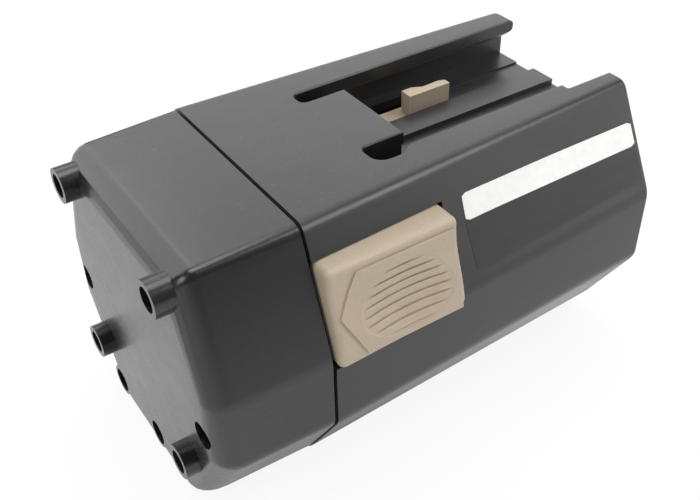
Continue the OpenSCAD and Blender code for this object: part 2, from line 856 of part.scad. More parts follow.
// A slab that follows the hollow face, from depth under it up to rise above it
module face_slab(depth, rise) {
    under = face_curve(-depth);
    along_x(button_x, button_length)
        polygon(concat(face_curve(rise), [for (k = [face_steps:-1:0]) under[k]]));
}
module button_panel() {
    right = button_length / 2 - panel_margin;
    top = face_length / 2 - panel_margin - panel_shift;
    low = face_length / 2 - panel_margin + panel_shift;
    intersection() {
        face_slab(panel_rise, panel_rise);
        on_button_face()
            translate([0, 0, -2 * face_hollow - panel_rise])
                linear_extrude(4 * face_hollow + 2 * panel_rise)
                    polygon([
                        [panel_point - right, top], [right, top], [right, -low],
                        [panel_point - right, -low], [-right, 0]
                    ]);
    }
}
// The finger dish: a lens round in both directions, turned about an axis along X
panel_shift = 0.4;
dish_shift = 1.6;
dish_bow = dish_depth + face_hollow * pow(2 * dish_height / face_length, 2);
long_round = (pow(dish_length, 2) + pow(dish_depth, 2)) / (2 * dish_depth);
high_round = (pow(dish_height, 2) + pow(dish_bow, 2)) / (2 * dish_bow);
module dish(grow) {
    on_button_face()
        translate([dish_shift, 0, panel_rise - face_hollow - dish_depth + high_round])
            rotate([0, 90, 0])
                rotate_extrude($fn = 120)
                    intersection() {
                        translate([high_round - long_round, 0])
                            circle(r = long_round + grow, $fn = 240);
                        translate([0, -long_round])
                            square(2 * long_round);
                    }
}
module grip_rib_set() {
    pitch = 2 * dish_height / (grip_ribs + 1);
    sink = 0.2;
    intersection() {
        difference() {
            dish(sink);
            dish(-rib_height);
        }
        face_slab(2 * dish_depth, panel_rise - sink);
        on_button_face()
            for (k = [1:grip_ribs])
                translate([dish_shift, k * pitch - dish_height, 0])
                    cube([2 * dish_length, rib_width, face_length], center = true);
    }
}
socket_clearance = 0.1;
module release_button() {
    pillar_room = pillar_d / 2 + travel + button_play;
    color(grip_colour) {
        difference() {
            union() {
                button_block();
                button_panel();
            }
            dish(0);
            // Pocket for the slider plate, and room for the upper screw pillar
            box(
                [slider_x - socket_clearance, slider_near, slider_z - socket_clearance],
                [
                    slider_x + slider_width + socket_clearance,
                    spare,
                    slider_z + slider_thickness + socket_clearance
                ]
            );
            box(
                [seam_x - spare, -boss_y - pillar_room, top_z - boss_drop - pillar_room],
                [seam_x + upper_root + button_play, spare, top_z]
            );
        }
        grip_rib_set();
    }
}

// Latch slider: plate in the button's pocket, arm under the floor, strip and hook in the channel
module latch_slider() {
    slider_top = slider_z + slider_thickness;
    hook_z = top_z - hook_drop;
    color(grip_colour) {
        difference() {
            union() {
                box([slider_x, slider_near, slider_z], [slider_x + slider_width, slider_far, slider_top]);
                box([slider_x, strip_near, slider_z], [hook_end_x, strip_far, slider_top]);
                box([strip_x, strip_near, slider_z], [hook_end_x, strip_far, floor_z - strip_sink]);
            }
            box(
                [spring_x - spring_room / 2, spring_near, slider_z - eps],
                [spring_x + spring_room / 2, post_y + post_thickness + slider_play, slider_top + eps]
            );
        }
        translate([0, 0, floor_z - strip_sink - eps])
            linear_extrude(hook_z - floor_z + strip_sink + eps)
                polygon([
                    [hook_x, strip_near + 0.3],
                    [hook_x, strip_near + 0.3 + hook_width],
                    [hook_x + hook_length * 0.25, strip_near + 0.3 + hook_width],
                    [hook_x + hook_length * 0.45, strip_near + hook_width * 0.72],
                    [hook_x + hook_length * 0.85, strip_near + hook_width * 0.78],
                    [hook_end_x, strip_near + hook_width * 0.6],
                    [hook_end_x, strip_near + 0.3]
                ]);
    }
}

// Return spring between the slider's window and the post
spring_steps = 8;
spring_path = [
    for (k = [0:spring_turns * spring_steps])
        let (
            angle = 360 * k / spring_steps,
            radius = (spring_d - spring_wire) / 2,
            run = spring_length - spring_wire - 2 * slider_play
        )
        [
            spring_x + radius * cos(angle),
            spring_near + slider_play + spring_wire / 2 + run * k / (spring_turns * spring_steps),
            slider_z + slider_thickness / 2 + radius * sin(angle)
        ]
];
spring_gap = min([
    for (i = [0:len(spring_path) - 1 - spring_steps])
        for (j = [i + spring_steps / 2:len(spring_path) - 1])
            norm(spring_path[i] - spring_path[j])
]) - spring_wire;
echo(least_gap_between_spring_turns = spring_gap);
module return_spring() {
    color("silver") tube(spring_path, spring_wire, [1, 0, 0], 6);
}

// Keeper plate under the slider, and its screws
module latch_keeper() {
    color("#4b4b50")
        difference() {
            union() {
                box(
                    [left_rib_x, -rib_reach, keeper_z],
                    [right_rib_x + guide_rib, right_rib_far, keeper_z + keeper_thickness]
                );
                box(
                    [left_rib_x, -rib_reach, keeper_z],
                    [right_rib_x - slider_play, rib_reach, keeper_z + keeper_thickness]
                );
            }
            translate([0, 0, -keeper_thickness - eps])
                at_keeper_screws()
                    cylinder(h = keeper_thickness + spare, d = keeper_screw_d + 2 * screw_play);
            // Window under the spring
            box(
                [spring_x - spring_room / 2, spring_near, keeper_z - eps],
                [spring_x + spring_room / 2, post_y + post_thickness, keeper_z + keeper_thickness + eps]
            );
        }
}
module keeper_screws() {
    head = 1.2;
    color("silver")
        at_keeper_screws() {
            translate([0, 0, -keeper_thickness])
                cylinder(h = keeper_thickness + keeper_screw_depth - 0.5, d = keeper_screw_d);
            translate([0, 0, -keeper_thickness - head])
                cylinder(h = head, d = 1.8 * keeper_screw_d);
        }
}

// Contact carrier in the closed end of the channel, with its three blades
blade_low_z = (carrier_low_z + carrier_high_z - blade_height) / 2;
flange_x = closed_x - channel_wall - carrier_flange;
tail_height = blade_height * 0.55;
module blade(y, play) {
    half = blade_thickness / 2 + play;
    box(
        [flange_x - play, y - half, blade_low_z - play],
        [closed_x + blade_reach + play, y + half, blade_low_z + blade_height + play]
    );
    box([flange_x - blade_tail, y - half, blade_low_z], [closed_x, y + half, blade_low_z + tail_height]);
}
module contact_carrier() {
    rim = 1.4;
    color("#2b2b2d")
        difference() {
            union() {
                box(
                    [flange_x, -carrier_half, carrier_low_z],
                    [closed_x + carrier_nose, carrier_half, carrier_high_z]
                );
                box(
                    [flange_x, -carrier_half - rim, carrier_low_z - rim],
                    [closed_x - channel_wall, carrier_half + rim, carrier_high_z]
                );
            }
            for (k = [-1:1])
                blade(k * contact_pitch, carrier_play / 2);
        }
}
module contact(place) {
    color(copper_colour) blade(place * contact_pitch, 0);
}
module positive_contact() {
    contact(-1);
}
module negative_contact() {
    contact(1);
}
module sensor_contact() {
    contact(0);
}

// One cell: sleeve with rolled shoulders, groove below the crimp and a positive tip
cell_tip = 0.8;
module cell(index) {
    column = columns[index % 5];
    x = index < 5 ? first_cells_x : second_cells_x;
    crimp = 1;
    body = cell_length - cell_tip;
    tip_r = 4.5;
    // Cells of neighbouring columns point opposite ways
    flip = (index % 5) % 2 == 0;
    color(sleeve_colour)
        translate([flip ? x : x + cell_length, column[0], column[1]])
            rotate([0, flip ? 90 : -90, 0])
                rotate_extrude()
                    polygon([
                        [0, 0], [cell_r - crimp / 2, 0], [cell_r, crimp / 2],
                        [cell_r, body - 4 * crimp], [cell_r - crimp, body - 3.2 * crimp],
                        [cell_r - crimp, body - 2.6 * crimp], [cell_r - 0.2, body - 1.8 * crimp],
                        [cell_r - 0.2, body - crimp / 2], [cell_r - crimp, body],
                        [tip_r, body], [tip_r, body + cell_tip], [0, body + cell_tip]
                    ]);
}

// Straps between neighbouring columns, links between the layers
module strap(from, to, x) {
    a = columns[from];
    b = columns[to];
    run = norm(b - a);
    translate([x, a[0], a[1]])
        rotate([atan2(b[1] - a[1], b[0] - a[0]), 0, 0])
            rotate([90, 0, 90])
                linear_extrude(strap_thickness)
                    union() {
                        circle(d = strap_width);
                        translate([run, 0]) circle(d = strap_width);
                        translate([0, -strap_width / 2]) square([run, strap_width]);
                    }
}
// The front straps, and the end tab that turns back over the negative lead
module front_straps() {
    tab_z = valley_z(lead_d) + lead_d / 2;
    tab_width = 3;
    tab_rise = tab_z + strap_thickness - columns[4][1];
    color(nickel_colour) {
        for (k = [0, 2])
            strap(k, k + 1, cells_end_x);
        translate([cells_end_x, columns[4][0], columns[4][1]])
            rotate([90, 0, 90])
                linear_extrude(strap_thickness)
                    polygon([
                        [-tab_width / 2, 0], [-valley_y - tab_width / 2, tab_rise],
                        [-valley_y + tab_width / 2, tab_rise], [tab_width / 2, 0]
                    ]);
        box(
            [cells_end_x - 2 * lead_bend, valley_y - tab_width / 2, tab_z],
            [cells_end_x + eps, valley_y + tab_width / 2, tab_z + strap_thickness]
        );
    }
}
module rear_straps() {
    color(nickel_colour)
        for (k = [1, 3])
            strap(k, k + 1, first_cells_x - strap_thickness);
}
module cell_links() {
    color(nickel_colour)
        for (p = columns)
            bar(first_cells_x + cell_length, link_gap, p[0], p[1], strap_width);
}
// Card shaped like the five cell ends side by side
module end_card(x, thickness, d) {
    for (p = columns)
        bar(x, thickness, p[0], p[1], d);
    for (k = [0:3])
        translate([x, columns[k][0], columns[k][1]])
            rotate([atan2(columns[k + 1][1] - columns[k][1], columns[k + 1][0] - columns[k][0]), 0, 0])
                translate([0, 0, -d / 6])
                    cube([thickness, cell_pitch, d / 3]);
}
module link_spacer() {
    color(card_colour)
        difference() {
            end_card(first_cells_x + cell_length + cell_gap / 2, link_gap - cell_gap, cell_d - 2);
            for (p = columns)
                bar(first_cells_x, cell_length + link_gap + spare, p[0], p[1], strap_width + cell_gap);
        }
}
module front_pad() {
    color(card_colour) end_card(cells_end_x + strap_thickness, front_pad_thickness, cell_d - 4);
}
module rear_pad() {
    color(card_colour)
        difference() {
            end_card(first_cells_x - strap_thickness - rear_pad_thickness, rear_pad_thickness, cell_d - 5);
            for (p = [columns[0], columns[4]])
                bar(first_cells_x - spare, spare, p[0], p[1], cutout_d + 2);
        }
}
module insulation_board() {
    reach = cell_pitch + 2;
    color(card_colour)
        box([first_cells_x, -reach, board_z], [cells_end_x, reach, board_z + board_thickness]);
}

// Temperature sensor in the valley between two upper cells, cut-out on a rear cell end
valley_y = cell_pitch / 2;
function valley_z(d) = high_row_z + sqrt(pow(cell_r + d / 2 + cell_gap / 2, 2) - pow(valley_y, 2));
sensor_x = first_cells_x + cell_length / 2;
module temperature_sensor() {
    color("#1f1f22") bar(sensor_x, sensor_length, -valley_y, valley_z(sensor_d), sensor_d);
}
module thermal_cutout() {
    color("#b9b6ad")
        bar(first_cells_x - cutout_thickness, cutout_thickness, columns[0][0], columns[0][1], cutout_d);
}

// Leads from the cells to the solder tails
tail_x = flange_x - blade_tail;
tail_z = blade_low_z + tail_height / 2;
lead_bend = 3;
positive_route = [
    [first_cells_x - cutout_thickness, columns[0][0], columns[0][1]],
    [first_cells_x - cutout_thickness - lead_bend / 2, columns[0][0], columns[0][1]],
    [first_cells_x - cutout_thickness - 2 * lead_bend, columns[0][0], columns[0][1] + lead_bend],
    [tail_x - 2 * lead_bend, -contact_pitch - 2 * lead_bend, board_z],
    [tail_x - 2 * lead_bend, -contact_pitch, tail_z - lead_bend],
    [tail_x - lead_bend / 2, -contact_pitch, tail_z],
    [tail_x, -contact_pitch, tail_z]
];
negative_route = [
    [cells_end_x - lead_bend, valley_y, valley_z(lead_d)],
    [second_cells_x, valley_y, valley_z(lead_d)],
    [first_cells_x + lead_bend, valley_y, valley_z(lead_d)],
    [first_cells_x - 3 * lead_bend, valley_y, board_z],
    [tail_x - 2 * lead_bend, contact_pitch, tail_z - lead_bend],
    [tail_x - lead_bend / 2, contact_pitch, tail_z],
    [tail_x, contact_pitch, tail_z]
];
sensor_route = [
    [sensor_x, -valley_y, valley_z(sensor_d)],
    [first_cells_x + lead_bend, -valley_y, valley_z(sensor_d)],
    [first_cells_x - 2 * lead_bend, -valley_y / 2, board_z],
    [tail_x - 2 * lead_bend, 0, tail_z - lead_bend],
    [tail_x - lead_bend / 2, 0, tail_z],
    [tail_x, 0, tail_z]
];
lead_steps = 4;
// The route's first and last stretch stay straight, so that the lead ends squarely
function lead_path(route) =
    let (last = len(route) - 1)
    concat([route[0]], smooth([for (i = [1:last - 1]) route[i]], lead_steps), [route[last]]);
module positive_lead() {
    color("#a02a24") tube(lead_path(positive_route), lead_d, [0, 1, 0], 8);
}
module negative_lead() {
    color("#1d1d1f") tube(lead_path(negative_route), lead_d, [0, 1, 0], 8);
}
module sensor_lead() {
    color("#e0ddd2") tube(lead_path(sensor_route), sensor_lead_d, [0, 1, 0], 8);
}

// Case screws, from the seats in the bosses into the pillars
module case_screws() {
    seat_x = boss_end_x + screw_sink;
    shank = seam_x + pillar_root - 2 - seat_x;
    recess_width = 1;
    color("silver")
        at_bosses()
            difference() {
                union() {
                    bar(seat_x - eps, shank, 0, 0, screw_d);
                    bar(seat_x - eps - screw_head_h, screw_head_h, 0, 0, screw_head_d);
                }
                for (turn = [0, 90])
                    translate([seat_x - screw_head_h - spare, 0, 0])
                        rotate([turn, 0, 0])
                            translate([0, -screw_head_d / 3, -recess_width / 2])
                                cube([spare + screw_head_h / 2, screw_head_d / 1.5, recess_width]);
            }
}

main_housing();
base_cap();
release_button();
latch_slider();
return_spring();
latch_keeper();
keeper_screws();
contact_carrier();
positive_contact();
negative_contact();
sensor_contact();
cell(0);  // cell_01
cell(1);  // cell_02
cell(2);  // cell_03
cell(3);  // cell_04
cell(4);  // cell_05
cell(5);  // cell_06
cell(6);  // cell_07
cell(7);  // cell_08
cell(8);  // cell_09
cell(9);  // cell_10
cell_links();
front_straps();
rear_straps();
link_spacer();
front_pad();
rear_pad();
insulation_board();
temperature_sensor();
thermal_cutout();
positive_lead();
negative_lead();
sensor_lead();
case_screws();
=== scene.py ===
import json
import math

import bmesh
import bpy
from mathutils import Matrix, Vector
from mathutils.bvhtree import BVHTree


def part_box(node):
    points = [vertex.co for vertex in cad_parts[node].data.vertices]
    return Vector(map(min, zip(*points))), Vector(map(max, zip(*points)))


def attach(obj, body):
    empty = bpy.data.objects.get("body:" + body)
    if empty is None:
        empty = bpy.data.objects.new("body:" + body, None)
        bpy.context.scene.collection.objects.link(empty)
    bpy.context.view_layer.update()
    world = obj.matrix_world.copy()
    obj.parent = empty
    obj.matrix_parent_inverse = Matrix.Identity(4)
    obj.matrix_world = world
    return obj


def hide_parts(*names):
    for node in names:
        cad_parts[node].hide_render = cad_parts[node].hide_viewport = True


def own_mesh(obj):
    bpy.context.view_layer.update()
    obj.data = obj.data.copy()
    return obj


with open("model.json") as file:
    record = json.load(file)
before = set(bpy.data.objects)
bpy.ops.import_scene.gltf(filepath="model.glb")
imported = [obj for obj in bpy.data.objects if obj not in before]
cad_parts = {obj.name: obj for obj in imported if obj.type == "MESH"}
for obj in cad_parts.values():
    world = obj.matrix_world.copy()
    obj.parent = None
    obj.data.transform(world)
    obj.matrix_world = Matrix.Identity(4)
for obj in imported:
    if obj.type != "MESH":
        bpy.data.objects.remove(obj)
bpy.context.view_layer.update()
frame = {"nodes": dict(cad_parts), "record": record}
nodes = frame["nodes"]
scene = bpy.context.scene
mm = 0.001
print("frame loaded:", len(nodes), "nodes")

# Camera, solved from the photo's edges
cameraSet = {
    "place": (-107.45, -161.3, 189.03),   # mm
    "right": (0.8289, -0.5591, -0.0166),
    "up": (0.3596, 0.5099, 0.7814),
    "lens": 49.15,
    "sensor": 36.0,
    "clip": (0.01, 100.0),                # m
}


def addCamera(s):
    data = bpy.data.cameras.new("photoCamera")
    data.lens = s["lens"]
    data.sensor_width = s["sensor"]
    data.sensor_fit = "HORIZONTAL"
    data.clip_start, data.clip_end = s["clip"]
    cam = bpy.data.objects.new("photoCamera", data)
    scene.collection.objects.link(cam)
    right = Vector(s["right"]).normalized()
    back = right.cross(Vector(s["up"])).normalized()
    up = back.cross(right)
    turn = Matrix((right, up, back)).transposed().to_4x4()
    cam.matrix_world = Matrix.Translation(Vector(s["place"]) * mm) @ turn
    scene.camera = cam


addCamera(cameraSet)
print("camera ready")


# Small node helpers
def addNode(tree, kind, **settings):
    node = tree.nodes.new("ShaderNode" + kind)
    for key, value in settings.items():
        setattr(node, key, value)
    return node


def mathNode(tree, operation, a, b):
    node = addNode(tree, "Math", operation=operation)
    for socket, value in zip(node.inputs, (a, b)):
        if isinstance(value, (int, float)):
            socket.default_value = value
        else:
            tree.links.new(value, socket)
    return node.outputs[0]


def rangeNode(tree, value, low, high, toLow=0.0, toHigh=1.0):
    node = addNode(tree, "MapRange", clamp=True)
    tree.links.new(value, node.inputs["Value"])
    node.inputs["From Min"].default_value = low
    node.inputs["From Max"].default_value = high
    node.inputs["To Min"].default_value = toLow
    node.inputs["To Max"].default_value = toHigh
    return node.outputs["Result"]


def noiseNode(tree, vector, scale, detail=3.0, roughness=0.55):
    node = addNode(tree, "TexNoise")
    tree.links.new(vector, node.inputs["Vector"])
    if isinstance(scale, (int, float)):
        node.inputs["Scale"].default_value = scale
    else:
        tree.links.new(scale, node.inputs["Scale"])
    node.inputs["Detail"].default_value = detail
    node.inputs["Roughness"].default_value = roughness
    return node.outputs["Fac"]


def objectPlace(tree):
    return addNode(tree, "TexCoord").outputs["Object"]


def farFrom(tree, point):
    node = addNode(tree, "VectorMath", operation="DISTANCE")
    tree.links.new(objectPlace(tree), node.inputs[0])
    node.inputs[1].default_value = point
    return node.outputs["Value"]


# Studio: white floor, two large softboxes behind, smaller ones above, in front and on the left
studio = {
    "floorSize": 60.0,
    "floorColour": (0.93, 0.93, 0.93),
    "floorRoughness": 0.9,
    "floorWhite": 0.9,                 # share of plain white that the camera sees
    # the gloss sees a painted pool of white light near the object and a painted shadow at its front left
    "paintedPoolWhite": (0.98, 0.12),         # the same for the gloss, near the object and far from it
    "paintedPoolRange": (0.14, 0.45),         # m
    "paintedShadowPlace": (-0.040, -0.085, 0.0),   # the object's shadow, less white in the gloss
    "paintedShadowRange": (0.035, 0.11),       # m
    "paintedShadowWhite": 0.0,
    "worldLevel": 0.12,
    "lamps": [
        # name, place, target, size, watts
        ("backRightSoftbox", (0.54, 0.56, 0.60), (0.0, 0.0, 0.05), 1.1, 6.3),
        ("backLeftSoftbox", (-0.37, 0.93, 0.56), (0.0, 0.0, 0.05), 1.1, 8.6),
        ("railSoftbox", (0.55, -0.47, 0.85), (0.0, 0.0, 0.05), 0.45, 4.5),
        ("topSoftbox", (0.0, 0.1, 1.0), (0.0, 0.0, 0.05), 0.5, 4.0),
        ("frontRightSoftbox", (0.88, -0.85, 0.30), (0.0, 0.0, 0.04), 0.85, 4.0),
        ("leftSoftbox", (-0.90, -0.22, 0.62), (0.0, 0.0, 0.04), 0.5, 3.8),
    ],
}


def addWorld(s):
    world = bpy.data.worlds.new("studioWorld")
    scene.world = world
    world.use_nodes = True
    background = world.node_tree.nodes["Background"]
    background.inputs["Color"].default_value = (1, 1, 1, 1)
    background.inputs["Strength"].default_value = s["worldLevel"]


def addFloor(s):
    mesh = bpy.data.meshes.new("studioFloor")
    h = s["floorSize"] / 2
    mesh.from_pydata([(-h, -h, 0), (h, -h, 0), (h, h, 0), (-h, h, 0)], [], [(0, 1, 2, 3)])
    floor = bpy.data.objects.new("studioFloor", mesh)
    scene.collection.objects.link(floor)
    mat = bpy.data.materials.new("studioFloor")
    mat.use_nodes = True
    tree = mat.node_tree
    bsdf = tree.nodes["Principled BSDF"]
    bsdf.inputs["Base Color"].default_value = (*s["floorColour"], 1)
    bsdf.inputs["Roughness"].default_value = s["floorRoughness"]
    bsdf.inputs["Specular IOR Level"].default_value = 0.0
    # the camera sees the floor mixed with plain white, so its shadow stays but pales,
    # and the gloss sees a painted pool of white light around the object, with a painted shadow at its front
    # left
    path = addNode(tree, "LightPath").outputs
    pool = rangeNode(tree, farFrom(tree, (0, 0, 0)), *s["paintedPoolRange"], *s["paintedPoolWhite"])
    shade = rangeNode(tree, farFrom(tree, s["paintedShadowPlace"]), *s["paintedShadowRange"], s["paintedShadowWhite"], 1.0)
    pool = mathNode(tree, "MULTIPLY", pool, shade)
    mirrored = mathNode(tree, "MAXIMUM", path["Is Glossy Ray"], path["Is Transmission Ray"])
    share = mathNode(tree, "MAXIMUM", mathNode(tree, "MULTIPLY", path["Is Camera Ray"], s["floorWhite"]),
                     mathNode(tree, "MULTIPLY", mirrored, pool))
    white = addNode(tree, "Emission")
    white.inputs["Color"].default_value = (1, 1, 1, 1)
    white.inputs["Strength"].default_value = 1.0
    mix = addNode(tree, "MixShader")
    tree.links.new(share, mix.inputs[0])
    tree.links.new(bsdf.outputs[0], mix.inputs[1])
    tree.links.new(white.outputs[0], mix.inputs[2])
    tree.links.new(mix.outputs[0], tree.nodes["Material Output"].inputs["Surface"])
    mesh.materials.append(mat)


def addLamps(s):
    for name, place, target, size, watts in s["lamps"]:
        data = bpy.data.lights.new(name, "AREA")
        data.shape = "SQUARE"
        data.size = size
        data.energy = watts
        lamp = bpy.data.objects.new(name, data)
        scene.collection.objects.link(lamp)
        lamp.location = place
        lamp.rotation_euler = (Vector(target) - Vector(place)).to_track_quat("-Z", "Y").to_euler()


addWorld(studio)
addFloor(studio)
addLamps(studio)
scene.view_settings.view_transform = "Standard"
print("studio ready")


# Shader groups that several finishes share
def newGroup(name, inputs, outputs):
    group = bpy.data.node_groups.new(name, "ShaderNodeTree")
    for label, value in inputs:
        socket = group.interface.new_socket(label, in_out="INPUT", socket_type="NodeSocketFloat")
        socket.default_value = value
    for label in outputs:
        group.interface.new_socket(label, in_out="OUTPUT", socket_type="NodeSocketFloat")
    return group, group.nodes.new("NodeGroupInput"), group.nodes.new("NodeGroupOutput")


def stretched(tree, vector, stretch):
    node = addNode(tree, "Mapping")
    node.inputs["Scale"].default_value = stretch
    tree.links.new(vector, node.inputs["Vector"])
    return node.outputs["Vector"]


def scaleFor(tree, size):
    # noise scale for a size in mm
    return mathNode(tree, "DIVIDE", 1 / mm, size)


grainSet = {
    "coarseScale": 0.33,
    "fineShare": 0.7, "coarseShare": 0.3,
    "toneRange": (0.35, 0.65),
}


def mouldGrainGroup(s):
    # fine spark-eroded skin of moulded plastic; size in mm
    group, given, out = newGroup("mouldGrain", [("Size", 0.3)], ["Height", "Tone"])
    place = objectPlace(group)
    scale = scaleFor(group, given.outputs["Size"])
    fine = noiseNode(group, place, scale, 2.0, 0.6)
    coarse = noiseNode(group, place, mathNode(group, "MULTIPLY", scale, s["coarseScale"]), 3.0, 0.5)
    height = mathNode(group, "ADD", mathNode(group, "MULTIPLY", fine, s["fineShare"]),
                      mathNode(group, "MULTIPLY", coarse, s["coarseShare"]))
    group.links.new(height, out.inputs["Height"])
    group.links.new(rangeNode(group, coarse, *s["toneRange"]), out.inputs["Tone"])
    return group


wearSet = {
    "samples": 4,
    "bend": (0.99, 0.85),              # cosine between the flat and the rounded normal
    "patchScale": 260.0, "patchRange": (0.35, 0.7), "patchWear": (0.25, 1.0),
}


def edgeWearGroup(s):
    # mask of outer and inner edges, broken up so that it never reads as an outline; radius in mm
    group, given, out = newGroup("edgeWear", [("Radius", 0.5)], ["Edge"])
    soft = addNode(group, "Bevel", samples=s["samples"])
    group.links.new(mathNode(group, "MULTIPLY", given.outputs["Radius"], mm), soft.inputs["Radius"])
    flat = addNode(group, "NewGeometry")
    turned = addNode(group, "VectorMath", operation="DOT_PRODUCT")
    group.links.new(soft.outputs["Normal"], turned.inputs[0])
    group.links.new(flat.outputs["Normal"], turned.inputs[1])
    bent = rangeNode(group, turned.outputs["Value"], *s["bend"])
    patches = noiseNode(group, objectPlace(group), s["patchScale"], 4.0)
    patches = rangeNode(group, patches, *s["patchRange"], *s["patchWear"])
    group.links.new(mathNode(group, "MULTIPLY", bent, patches), out.inputs["Edge"])
    return group


driftSet = {
    "toneRange": (0.3, 0.7),
    "streak": (0.35, 1.0, 1.6), "smearScale": 4.0, "smearRange": (0.3, 0.7),
}


def toneDriftGroup(s):
    # slow change over the surface, as from handling and uneven cooling; size in mm
    group, given, out = newGroup("toneDrift", [("Size", 30.0)], ["Tone", "Smear"])
    place = objectPlace(group)
    scale = scaleFor(group, given.outputs["Size"])
    tone = noiseNode(group, place, scale, 3.0)
    group.links.new(rangeNode(group, tone, *s["toneRange"]), out.inputs["Tone"])
    streaks = stretched(group, place, s["streak"])
    smear = noiseNode(group, streaks, mathNode(group, "MULTIPLY", scale, s["smearScale"]), 2.0, 0.5)
    group.links.new(rangeNode(group, smear, *s["smearRange"]), out.inputs["Smear"])
    return group


dustSet = {
    "speckScale": 900.0, "speckRange": (0.56, 0.72),
    "lyingRange": (0.1, 0.9),          # how far a face is turned up
}


def dustGroup(s):
    # specks that settle on faces turned upwards
    group, given, out = newGroup("settledDust", [("Amount", 0.3)], ["Dust"])
    up = addNode(group, "SeparateXYZ")
    group.links.new(addNode(group, "NewGeometry").outputs["Normal"], up.inputs[0])
    specks = noiseNode(group, objectPlace(group), s["speckScale"], 5.0, 0.7)
    specks = rangeNode(group, specks, *s["speckRange"])
    lying = mathNode(group, "MULTIPLY", rangeNode(group, up.outputs["Z"], *s["lyingRange"]), specks)
    group.links.new(mathNode(group, "MULTIPLY", lying, given.outputs["Amount"]), out.inputs["Dust"])
    return group


brushSet = {
    "stretch": (0.06, 1.0, 1.0), "toneRange": (0.35, 0.7),
}


def brushLinesGroup(s):
    # drawing and rolling lines of metal strip and wire; size in mm
    group, given, out = newGroup("brushLines", [("Size", 0.2)], ["Height", "Tone"])
    scale = scaleFor(group, given.outputs["Size"])
    lines = noiseNode(group, stretched(group, objectPlace(group), s["stretch"]), scale, 3.0, 0.7)
    group.links.new(lines, out.inputs["Height"])
    group.links.new(rangeNode(group, lines, *s["toneRange"]), out.inputs["Tone"])
    return group


groups = {
    "grain": mouldGrainGroup(grainSet),
    "edges": edgeWearGroup(wearSet),
    "drift": toneDriftGroup(driftSet),
    "dust": dustGroup(dustSet),
    "brush": brushLinesGroup(brushSet),
}
print("shader groups ready:", len(groups))


def useGroup(tree, key, **values):
    node = addNode(tree, "Group", node_tree=groups[key])
    for label, value in values.items():
        node.inputs[label].default_value = value
    return node.outputs


def mixColour(tree, factor, a, b):
    node = addNode(tree, "Mix", data_type="RGBA")
    tree.links.new(factor, node.inputs["Factor"])
    for socket, value in ((node.inputs["A"], a), (node.inputs["B"], b)):
        if isinstance(value, tuple):
            socket.default_value = (*value, 1)
        else:
            tree.links.new(value, socket)
    return node.outputs["Result"]


def bumpNode(tree, height, distance):
    node = addNode(tree, "Bump")
    node.inputs["Distance"].default_value = distance
    tree.links.new(height, node.inputs["Height"])
    return node.outputs["Normal"]


def newMaterial(name, fixed):
    mat = bpy.data.materials.new(name)
    mat.use_nodes = True
    bsdf = mat.node_tree.nodes["Principled BSDF"]
    for label, value in fixed.items():
        bsdf.inputs[label].default_value = value
    return mat, mat.node_tree, bsdf


def scaled(colour, k):
    return tuple(min(1.0, c * k) for c in colour)


plasticSet = {
    "sheenRoughness": 0.4,
    "grainAmount": 0.25, "grainLight": 1.2,
    "edgeGloss": 0.08,                 # worn edges are this much less rough
}


def plasticFinish(name, s):
    every = plasticSet
    fixed = {"IOR": s["ior"], "Sheen Weight": s["sheen"], "Sheen Roughness": every["sheenRoughness"]}
    mat, tree, bsdf = newMaterial(name, fixed)
    grain = useGroup(tree, "grain", Size=s["grainSize"])
    edges = useGroup(tree, "edges", Radius=s["edgeRadius"])
    drift = useGroup(tree, "drift", Size=s["driftSize"])
    dust = useGroup(tree, "dust", Amount=s["dust"])
    spread = s["toneSpread"]
    base = mixColour(tree, drift["Tone"], scaled(s["colour"], 1 - spread), scaled(s["colour"], 1 + spread))
    speckle = mathNode(tree, "MULTIPLY", grain["Tone"], every["grainAmount"])
    base = mixColour(tree, speckle, base, scaled(s["colour"], every["grainLight"]))
    worn = mathNode(tree, "MULTIPLY", edges["Edge"], s["edgeAmount"])
    base = mixColour(tree, worn, base, s["edgeColour"])
    base = mixColour(tree, dust["Dust"], base, s["dustColour"])
    tree.links.new(base, bsdf.inputs["Base Color"])
    low, high = s["roughness"]
    rough = rangeNode(tree, drift["Smear"], 0.0, 1.0, high, low)
    rubbed = mathNode(tree, "MULTIPLY", edges["Edge"], every["edgeGloss"])
    rough = mathNode(tree, "SUBTRACT", rough, rubbed)
    tree.links.new(rough, bsdf.inputs["Roughness"])
    tree.links.new(bumpNode(tree, grain["Height"], s["grainDepth"]), bsdf.inputs["Normal"])
    return mat


metalSet = {
    "edgeRadius": 0.25, "edgeAmount": 0.5, "edgeLight": 1.25,
}


def metalFinish(name, s):
    every = metalSet
    mat, tree, bsdf = newMaterial(name, {"Metallic": 1.0})
    brush = useGroup(tree, "brush", Size=s["lineSize"])
    drift = useGroup(tree, "drift", Size=s["driftSize"])
    edges = useGroup(tree, "edges", Radius=every["edgeRadius"])
    base = mixColour(tree, drift["Smear"], s["colour"], s["tarnish"])
    worn = mathNode(tree, "MULTIPLY", edges["Edge"], every["edgeAmount"])
    base = mixColour(tree, worn, base, scaled(s["colour"], every["edgeLight"]))
    tree.links.new(base, bsdf.inputs["Base Color"])
    low, high = s["roughness"]
    tree.links.new(rangeNode(tree, brush["Tone"], 0.0, 1.0, low, high), bsdf.inputs["Roughness"])
    tree.links.new(bumpNode(tree, brush["Height"], s["lineDepth"]), bsdf.inputs["Normal"])
    return mat


